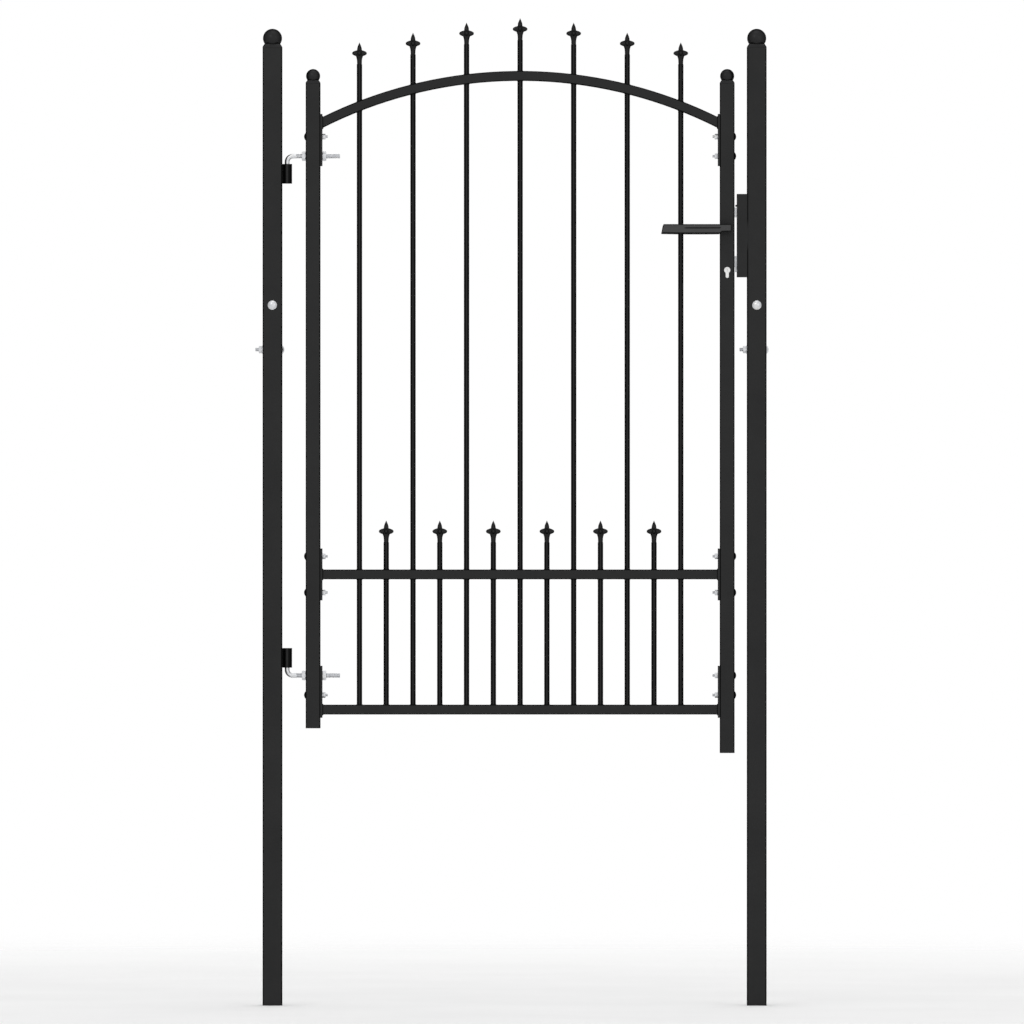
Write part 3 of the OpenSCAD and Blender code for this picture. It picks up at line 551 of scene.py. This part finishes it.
def carriage_bolt(bm, matrix, size):
    """A domed head on the local XY plane and a shank along +Z, threaded over its far part."""
    thread_r, head_r, head_h, length, pitch = size
    dome_r = (head_r**2 + head_h**2) / (2 * head_h)
    profile = []
    for i in range(DOME_STEPS):
        a = math.asin(head_r / dome_r) * max(0.02, i / DOME_STEPS)
        profile.append((dome_r * math.sin(a), -head_h + dome_r * (1 - math.cos(a))))
    profile += [(head_r - 0.15 * MM, -0.45 * MM), (head_r, -0.25 * MM), (head_r - 0.1 * MM, 0.0),
                (thread_r, 0.0)]
    rings = [circle(Vector((0, 0, z)), r, BOLT_SIDES) for r, z in profile]
    start = length - THREAD_LENGTH * 2 * thread_r
    step = pitch / THREAD_STEPS
    stations = [0.5 * MM + i * SHANK_STEP for i in range(int(start / SHANK_STEP))]
    stations += [start + i * step for i in range(int((length - start) / step) + 1)]
    if stations[-1] < length - 1e-6:
        stations.append(length)
    # Only the far end is chamfered, so the rod's own start lies inside the head
    inside = 2 * MM
    radius = rod_radius([z + inside for z in stations], thread_r, BOLT_SIDES, pitch, start + inside)
    for i, z in enumerate(stations):
        rings.append([Vector((radius(i, k) * math.cos(TAU * k / BOLT_SIDES),
                              radius(i, k) * math.sin(TAU * k / BOLT_SIDES), z))
                      for k in range(BOLT_SIDES)])
    made = bmesh.new()
    loft(made, rings)
    for v in bmesh.ops.create_cube(made, size=1.0)["verts"]:
        v.co = Vector((v.co.x * 2, v.co.y * 2, (v.co.z + 0.5) * NECK_LENGTH)) * thread_r
    made.transform(matrix)
    temporary = bpy.data.meshes.new("bolt")
    made.to_mesh(temporary)
    made.free()
    bm.from_mesh(temporary)
    bpy.data.meshes.remove(temporary)


def facing(point, along):
    """A matrix that puts the local origin at point and local +Z along a direction."""
    turn = Vector((0, 0, 1)).rotation_difference(along).to_matrix().to_4x4()
    return Matrix.Translation(point) @ turn


ACROSS, BACK = Vector((1, 0, 0)), Vector((0, 1, 0))
post_l, post_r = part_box("left_post"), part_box("right_post")
studs = {m["name"]: Vector(m["pos_m"]) for m in RECORD["mounts"]}
front_z = studs["left_post_back_stud"].z
side_z = studs["left_post_side_stud"].z
bm = bmesh.new()
for lo, hi in (post_l, post_r):
    carriage_bolt(bm, facing(Vector(((lo.x + hi.x) / 2, lo.y, front_z)), BACK), M8_BOLT)
    carriage_bolt(bm, facing(Vector((hi.x, 0, side_z)), -ACROSS), M8_BOLT)
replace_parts(add_piece("post_bolts_threaded", bm, "posts", "zinc_plate", 50.0), "post_bolts")

# The outer bolt of each top and bottom plate against the hook's height, and the two bolts of each
# middle plate against its middle
OUTER_BOLT, MIDDLE_BOLT = 40 * MM, 37.1 * MM
# The radius of a hinge hook's rod, and how far inside the stiles the plate bolts are still black
HINGE_ROD_R, BLACK_DEPTH = 5 * MM, 34 * MM
hinge_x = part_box("hinge_stile")[0].x
lock_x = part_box("lock_stile")[1].x
top_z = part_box("upper_hinge_hook")[1].z - HINGE_ROD_R
bottom_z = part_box("lower_hinge_hook")[0].z + HINGE_ROD_R
middle_lo, middle_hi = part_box("hinge_middle_plate")
middle_z = (middle_lo.z + middle_hi.z) / 2
shared_zs = [top_z + OUTER_BOLT, bottom_z - OUTER_BOLT, middle_z + MIDDLE_BOLT,
             middle_z - MIDDLE_BOLT]
bm = bmesh.new()
for z in shared_zs:
    carriage_bolt(bm, facing(Vector((hinge_x, 0, z)), ACROSS), M6_BOLT)
for z in shared_zs + [top_z, bottom_z]:
    carriage_bolt(bm, facing(Vector((lock_x, 0, z)), -ACROSS), M6_BOLT)
bolts = add_piece("plate_bolts_threaded", bm, "leaf", "powder_coat", 50.0, "coated_castings")
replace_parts(bolts, "plate_bolts")
bolts.data.materials.append(MATERIALS["zinc_plate"])
for face in bolts.data.polygons:
    if hinge_x + BLACK_DEPTH < face.center.x < lock_x - BLACK_DEPTH:
        face.material_index = 1

# ---------------------------------------------------------------- levers

# The grip: half its width, its corners, its rounded ends and how far its outer end slants
GRIP_HALF_W, GRIP_CORNER, GRIP_END, GRIP_SLANT = 6 * MM, 2.4 * MM, 1.3 * MM, 3.6 * MM
# The crease: its height above the grip's middle, its depth, and where it deepens from the outer end
CREASE_Z, CREASE_DEPTH, CREASE_FROM = 1.7 * MM, 1.5 * MM, 44 * MM
# How much the foot sags towards both ends, and how far it steps up at the stile
FOOT_SAG, FOOT_STEP = 0.8 * MM, 3.2 * MM
GRIP_STEPS, NECK_SIDES = 90, 48


def between(value, start, length):
    """How far value is along a stretch that begins at start, from 0 to 1."""
    return min(1.0, max(0.0, (value - start) / length))


def grip_section(half_w, half_h, r, crease):
    """(y, z) points around a grip: a rounded rectangle whose outer face, at +y, has a crease."""
    flat_h, flat_w = half_h - r, half_w - r
    # Points of the outer face: up to the crease, over it, and on to the upper corner
    below, above = CREASE_Z - 1.5 * MM, CREASE_Z + 1.5 * MM
    outer = [-flat_h + (below + flat_h) * t / 0.9 for t in (0.0, 0.25, 0.5, 0.75, 0.9)]
    outer += [CREASE_Z + d * MM for d in (-0.9, -0.45, -0.15, 0.15, 0.45, 0.9, 1.5)]
    outer += [above + (flat_h - above) * t for t in (0.5, 1.0)]
    points = []
    for z in outer:
        depth = crease * max(0.0, 1.0 - abs(z - CREASE_Z) / (1.0 * MM))
        points.append((half_w - depth, z))
    corners = ((flat_w, flat_h), (-flat_w, flat_h), (-flat_w, -flat_h), (flat_w, -flat_h))
    for quarter, (y, z) in enumerate(corners):
        for i in range(1, 7):
            a = TAU * (quarter + i / 6) / 4
            points.append((y + r * math.cos(a), z + r * math.sin(a)))
    return points[:-1]


def lever(name, side):
    """A lever: a grip with a slanted end and a pressed crease along its face, on a turned neck.
    side is -1 at the front and +1 at the back."""
    lo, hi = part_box(name)
    neck_r = hi.x - lever_axis.x
    middle_y = (lo.y if side < 0 else hi.y) - side * GRIP_HALF_W
    top = lever_axis.z + neck_r
    left, right = lo.x, lever_axis.x + neck_r
    stile_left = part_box("lock_stile")[0].x
    rings = []
    for i in range(GRIP_STEPS + 1):
        t = 0.5 - 0.5 * math.cos(math.pi * i / GRIP_STEPS)
        x = left + (right - left) * t
        past = max(0.0, GRIP_END - (x - left), GRIP_END - (right - x))
        tuck = GRIP_END - math.sqrt(max(0.0, GRIP_END**2 - past**2))
        rise = between(x, stile_left - 1 * MM, 5 * MM)
        sag = FOOT_SAG * (2 * t - 1) ** 2
        foot = lo.z + sag + rise * rise * (3 - 2 * rise) * FOOT_STEP
        half_h, centre_z = (top - foot) / 2, (top + foot) / 2
        crease = CREASE_DEPTH * between(x, left + CREASE_FROM, 16 * MM)
        crease *= 1.0 - between(x, stile_left - 5 * MM, 7 * MM)
        slant = GRIP_SLANT * max(0.0, 1 - (x - left) / (50 * MM))
        ring = []
        for y, z in grip_section(GRIP_HALF_W - tuck, half_h - tuck, GRIP_CORNER, crease):
            lean = slant * (z + half_h) / (2 * half_h)
            ring.append(Vector((x + lean, middle_y + side * y, centre_z + z)))
        rings.append(ring)
    bm = bmesh.new()
    loft(bm, rings)
    # The neck, from just outside the stile into the grip: distance from the gate's middle, radius
    neck = ((15.4, -0.5), (15.9, 0.0), (46, 0.0), (50, -0.1), (56, -0.8))
    rings = []
    for y, change in neck:
        r = neck_r + change * MM
        rings.append([Vector((lever_axis.x + r * math.cos(TAU * k / NECK_SIDES), side * y * MM,
                              lever_axis.z + r * math.sin(TAU * k / NECK_SIDES)))
                      for k in range(NECK_SIDES)])
    loft(bm, rings)
    piece = add_piece(name + "_shaped", bm, "handle", "powder_coat", 35.0, "coated_levers")
    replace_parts(piece, name)


lever("front_lever", -1)
lever("back_lever", 1)

# ---------------------------------------------------------------- ball caps

# The plug's play in the tube and the corner radii of plug and flange
PLUG_INSET, PLUG_CORNER, FLANGE_CORNER = 1.8 * MM, 2 * MM, 2.8 * MM
# The flange's upright part, its slope's height against its width, and the groove under the ball
FLANGE_H, SLOPE_RISE, GROOVE_DEPTH = 2 * MM, 1.6, 1.1 * MM
SLOPE_STEPS, BALL_STEPS, CAP_SIDES = 5, 32, 64


def square_ring(centre, half_w, r, z):
    """A level ring: a square with corners rounded to r, or a circle if r is half_w."""
    points = []
    for k in range(CAP_SIDES):
        a = TAU * k / CAP_SIDES
        c, s = math.cos(a), math.sin(a)
        # Halves the stretch in which the outline must lie until it is found
        low, high = 0.0, 2.0 * half_w
        for _ in range(24):
            middle = (low + high) / 2
            over_x = max(0.0, abs(c * middle) - (half_w - r))
            over_y = max(0.0, abs(s * middle) - (half_w - r))
            inside = math.hypot(over_x, over_y) < r
            low, high = (middle, high) if inside else (low, middle)
        points.append(Vector((centre.x + c * low, centre.y + s * low, z)))
    return points


def ball_cap(name, tube, slope_w, ball_d, body):
    """A moulded cap: a plug in the tube, a bevelled flange, a groove and a ball."""
    lo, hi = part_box(name)
    tube_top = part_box(tube)[1].z
    half_w = (hi.x - lo.x) / 2
    ball_r = ball_d / 2
    ball_z = hi.z - ball_r
    shoulder = tube_top + FLANGE_H
    flange_top = shoulder + SLOPE_RISE * slope_w
    groove_r = math.sqrt(ball_r**2 - (flange_top - ball_z) ** 2) - GROOVE_DEPTH
    plug = half_w - PLUG_INSET
    # Half width, corner radius and height of each ring
    profile = [(plug - 1 * MM, PLUG_CORNER, lo.z), (plug, PLUG_CORNER, lo.z + 1 * MM),
               (plug, PLUG_CORNER, tube_top), (half_w - 0.3 * MM, 2.6 * MM, tube_top),
               (half_w, FLANGE_CORNER, tube_top + 0.3 * MM), (half_w, FLANGE_CORNER, shoulder)]
    for i in range(1, SLOPE_STEPS + 1):
        t = i / SLOPE_STEPS
        profile.append((half_w - slope_w * t**1.12, FLANGE_CORNER + 1.2 * MM * t,
                        shoulder + SLOPE_RISE * slope_w * t**0.92))
    rounds = [(groove_r + 0.5 * MM, flange_top + 0.15 * MM), (groove_r, flange_top + 0.2 * MM),
              (groove_r, flange_top + 0.9 * MM)]
    start = math.asin(min(1.0, (groove_r + 0.3 * MM) / ball_r))
    for i in range(BALL_STEPS + 1):
        a = start + (math.pi - start - 0.04) * i / BALL_STEPS
        rounds.append((ball_r * math.sin(a), ball_z - ball_r * math.cos(a)))
    profile += [(r, r, z) for r, z in rounds]
    centre = (lo + hi) / 2
    bm = bmesh.new()
    loft(bm, [square_ring(centre, half, min(r, half), z) for half, r, z in profile])
    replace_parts(add_piece(name + "_moulded", bm, body, "black_plastic", 32.0), name)


# Tube, body, width of the flange's slope and diameter of the ball, in millimetres
CAPS = {
    "left_post_cap": ("left_post", "posts", 4.0, 39.0),
    "right_post_cap": ("right_post", "posts", 4.0, 39.0),
    "hinge_stile_cap": ("hinge_stile", "leaf", 3.2, 28.8),
    "lock_stile_cap": ("lock_stile", "leaf", 3.2, 28.8),
}
for name, (tube, body, slope_w, ball_d) in CAPS.items():
    ball_cap(name, tube, slope_w * MM, ball_d * MM, body)

# ---------------------------------------------------------------- latch spring


WIRE_R, COILS, COIL_STEPS = 0.4 * MM, 9, 20


def latch_spring():
    """A coil with closer turns at both ends."""
    lo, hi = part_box("latch_spring")
    coil_r = (hi.z - lo.z) / 2 - WIRE_R
    centre_z = (hi.z + lo.z) / 2
    length = hi.x - lo.x - 2 * WIRE_R
    path = []
    for i in range(COILS * COIL_STEPS + 1):
        t = i / (COILS * COIL_STEPS)
        a = TAU * COILS * t
        along = t - 0.035 * math.sin(TAU * t)
        path.append(Vector((lo.x + WIRE_R + length * along, coil_r * math.cos(a),
                            centre_z + coil_r * math.sin(a))))
    bm = bmesh.new()
    sweep(bm, path, lambda i, k: WIRE_R, 10)
    piece = add_piece("latch_spring_coil", bm, "leaf", "zinc_plate")
    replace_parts(piece, "latch_spring")
    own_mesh(piece)


latch_spring()

# ---------------------------------------------------------------- welds

RAIL_BEAD_R, SEAT_BEAD_R, BARREL_BEAD_R = 1.4 * MM, 0.85 * MM, 1.9 * MM
ARCH_R, RAIL_HALF = 905.5 * MM, 10 * MM
RAILS = ("middle_rail", "bottom_rail")


def rail_end(bm, x, side, foot, head):
    """A weld around the end of a rail against a plate at x. side points from the plate to the
    rail, and foot and head are the heights of the rail's edges there."""
    half_h = (head - foot) / 2
    centre_z = (head + foot) / 2
    out_y, out_z = RAIL_HALF + 0.25 * RAIL_BEAD_R, half_h + 0.3 * RAIL_BEAD_R
    corners = [Vector((x + side * 0.3 * RAIL_BEAD_R, y * out_y, centre_z + z * out_z))
               for y, z in ((-1, -1), (1, -1), (1, 1), (-1, 1))]
    # Each corner is cut off, so that the bead runs round it
    cut = 1.2 * MM
    eased = []
    for i, corner in enumerate(corners):
        before, after = corners[i - 1], corners[(i + 1) % 4]
        eased += [corner + (before - corner).normalized() * cut,
                  corner + (after - corner).normalized() * cut]
    bead_run(bm, polyline(eased, BEAD_STEP), RAIL_BEAD_R, closed=True)


arch_lo, arch_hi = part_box("arch_rail")
panel_x = (arch_lo.x + arch_hi.x) / 2
arch_centre_z = arch_hi.z - RAIL_HALF - ARCH_R


def arch_z(x, away=0.0):
    """The height of the arch at x: of its middle line, or of one that lies away outside it."""
    return arch_centre_z + math.sqrt((ARCH_R + away) ** 2 - (x - panel_x) ** 2)


def picket_seats(x, short):
    """Where a picket at x meets a rail's face: the height, and how steeply the face rises."""
    middle_lo, middle_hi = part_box("middle_rail")
    seats = [(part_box("bottom_rail")[1].z, 0.0), (middle_lo.z, 0.0), (middle_hi.z, 0.0)]
    if not short:
        slope = -(x - panel_x) / (arch_z(x) - arch_centre_z)
        seats += [(arch_z(x, -RAIL_HALF), slope), (arch_z(x, RAIL_HALF), slope)]
    return seats


bm = bmesh.new()
for x, side in ((arch_lo.x, 1), (arch_hi.x, -1)):
    rail_end(bm, x, side, arch_z(x, -RAIL_HALF), arch_z(x, RAIL_HALF))
    for rail in RAILS:
        lo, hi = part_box(rail)
        rail_end(bm, x, side, lo.z, hi.z)
for name in picket_names:
    lo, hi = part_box(name)
    x, r = (lo.x + hi.x) / 2, (hi.x - lo.x) / 2
    for z, tilt in picket_seats(x, name.startswith("short")):
        path = circle(Vector((x, 0, z)), r + 0.25 * MM, 56, tilt)
        bead_run(bm, path, SEAT_BEAD_R, closed=True, ripple=1.9 * MM)
add_piece("leaf_welds", bm, "leaf", "powder_coat", 80.0)

# The barrels' beads: how far in front of and behind the barrel's axis, how far from the post, and
# how far from the barrel's ends
BARREL_BEAD_Y, BARREL_BEAD_X, BARREL_BEAD_END = 5.4 * MM, 0.9 * MM, 2 * MM
# A weld ground flush fills the gap between the keeper's edge and the post's round corner: how far
# it reaches over the keeper and over the post, how deep it goes, and how its ends taper
STRIP_LEFT, STRIP_RIGHT, STRIP_DEPTH = -1.0 * MM, 3.4 * MM, 3.2 * MM
STRIP_TAPER, STRIP_END, STRIP_FULL = 2.2 * MM, 0.6 * MM, 1.4 * MM
bm = bmesh.new()
for name in ("upper_hinge_barrel", "lower_hinge_barrel"):
    lo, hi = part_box(name)
    x = post_l[1].x + BARREL_BEAD_X
    for y in (-BARREL_BEAD_Y, BARREL_BEAD_Y):
        path = line(Vector((x, y, lo.z + BARREL_BEAD_END)), Vector((x, y, hi.z - BARREL_BEAD_END)),
                    BEAD_STEP)
        bead_run(bm, path, BARREL_BEAD_R)
keeper_lo, keeper_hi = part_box("keeper")
left, right = keeper_hi.x + STRIP_LEFT, keeper_hi.x + STRIP_RIGHT
for side in (-1, 1):
    outer_y = side * (keeper_hi.y - 0.05 * MM)
    inner_y = outer_y - side * STRIP_DEPTH
    rings = []
    for z, sunk in ((keeper_lo.z + STRIP_END, STRIP_TAPER), (keeper_lo.z + STRIP_FULL, 0.0),
                    (keeper_hi.z - STRIP_FULL, 0.0), (keeper_hi.z - STRIP_END, STRIP_TAPER)):
        y = outer_y - side * sunk
        rings.append([Vector((left, y, z)), Vector((right, y, z)), Vector((right, inner_y, z)),
                      Vector((left, inner_y, z))])
    loft(bm, rings)
add_piece("post_welds", bm, "posts", "powder_coat", 80.0)

# ---------------------------------------------------------------- floor, light and camera

# The floor's rings, and where it starts to fade and has faded out, in metres
FLOOR_RINGS, FLOOR_SIDES = (0.6, 1.2, 2.0, 3.0, 4.2, 5.6), 96
FADE_START, FADE_END = 1.3, 5.2


def floor():
    """A pale round floor that fades into the pale surroundings."""
    bm = bmesh.new()
    centre = bm.verts.new((0, 0, 0))
    rings = [[bm.verts.new(p) for p in circle(Vector((0, 0, 0)), r, FLOOR_SIDES)]
             for r in FLOOR_RINGS]
    for k in range(FLOOR_SIDES):
        j = (k + 1) % FLOOR_SIDES
        bm.faces.new((centre, rings[0][k], rings[0][j]))
        for a, b in zip(rings, rings[1:]):
            bm.faces.new((a[k], b[k], b[j], a[j]))
    mesh = bpy.data.meshes.new("floor")
    bm.to_mesh(mesh)
    bm.free()
    m, tree, shader, where = material("pale_floor", specular=0.2)
    tone = noise(tree, where, 2.2, 3.0, 0.5)
    tree.links.new(ramp(tree, tone, [(0.3, 0.86), (0.7, 0.9)]), shader.inputs["Base Color"])
    shader.inputs["Roughness"].default_value = 0.75
    clear = tree.nodes.new("ShaderNodeBsdfTransparent")
    blend = tree.nodes.new("ShaderNodeMixShader")
    spread = node(tree, "ShaderNodeVectorMath", operation="LENGTH")
    tree.links.new(where, spread.inputs[0])
    fade = node(tree, "ShaderNodeMapRange", {"From Min": FADE_START, "From Max": FADE_END},
                interpolation_type="SMOOTHSTEP")
    tree.links.new(spread.outputs["Value"], fade.inputs["Value"])
    tree.links.new(fade.outputs["Result"], blend.inputs[0])
    tree.links.new(shader.outputs["BSDF"], blend.inputs[1])
    tree.links.new(clear.outputs["BSDF"], blend.inputs[2])
    tree.links.new(blend.outputs["Shader"], tree.nodes["Material Output"].inputs["Surface"])
    mesh.materials.append(m)
    piece = bpy.data.objects.new("floor", mesh)
    bpy.context.scene.collection.objects.link(piece)


def surroundings():
    """A pale studio: bright in front, behind and above, dimmer to both sides, and white where
    it is seen past the gate."""
    world = bpy.data.worlds.new("studio")
    bpy.context.scene.world = world
    world.use_nodes = True
    tree = world.node_tree
    tree.nodes.clear()
    out = tree.nodes.new("ShaderNodeOutputWorld")
    where = tree.nodes.new("ShaderNodeTexCoord").outputs["Generated"]
    parts = tree.nodes.new("ShaderNodeSeparateXYZ")
    tree.links.new(where, parts.inputs["Vector"])
    across = node(tree, "ShaderNodeMath", operation="ABSOLUTE")
    tree.links.new(parts.outputs["X"], across.inputs[0])
    level = ramp(tree, across.outputs["Value"],
                 [(0.0, 1.0), (0.45, 0.98), (0.8, 0.85), (1.0, 0.7)])
    light = node(tree, "ShaderNodeBackground", {"Strength": 0.95})
    tree.links.new(level, light.inputs["Color"])
    seen = node(tree, "ShaderNodeBackground", {"Color": (1.0, 1.0, 1.0, 1.0), "Strength": 1.0})
    path = tree.nodes.new("ShaderNodeLightPath")
    pick = tree.nodes.new("ShaderNodeMixShader")
    tree.links.new(path.outputs["Is Camera Ray"], pick.inputs[0])
    tree.links.new(light.outputs["Background"], pick.inputs[1])
    tree.links.new(seen.outputs["Background"], pick.inputs[2])
    tree.links.new(pick.outputs["Shader"], out.inputs["Surface"])


def area_light(name, position, target_z, power):
    """A soft round light that points at a height on the Z axis."""
    data = bpy.data.lights.new(name, "AREA")
    data.shape, data.size, data.energy = "DISK", 3.0, power
    lamp = bpy.data.objects.new(name, data)
    lamp.location = position
    lamp.rotation_mode = "QUATERNION"
    aim = Vector((0, 0, target_z)) - Vector(position)
    lamp.rotation_quaternion = aim.to_track_quat("-Z", "Y")
    bpy.context.scene.collection.objects.link(lamp)


# How wide the picture is at the gate's front, and where its middle lies
VIEW_W, VIEW_X, VIEW_Z = 2.0895, -5.3 * MM, 1008.6 * MM


def camera():
    """A long lens square in front of the gate, as the photograph was taken."""
    data = bpy.data.cameras.new("camera")
    data.sensor_width, data.lens = 36.0, 500.0
    data.clip_start, data.clip_end = 1.0, 120.0
    data.dof.use_dof = False
    eye = bpy.data.objects.new("camera", data)
    distance = VIEW_W * data.lens / data.sensor_width
    eye.location = (VIEW_X, cad_box[0].y - distance, VIEW_Z)
    eye.rotation_euler = (math.pi / 2, 0, 0)
    bpy.context.scene.collection.objects.link(eye)
    bpy.context.scene.camera = eye


floor()
surroundings()
area_light("key", (-2.4, -4.5, 4.6), 1.0, 20)
area_light("fill", (3.2, -4.0, 2.6), 1.0, 8)
area_light("back", (0.8, 4.6, 4.2), 1.1, 20)
area_light("top", (0, 0, 5.4), 0.0, 14)
camera()
bpy.context.scene.view_settings.view_transform = "Standard"
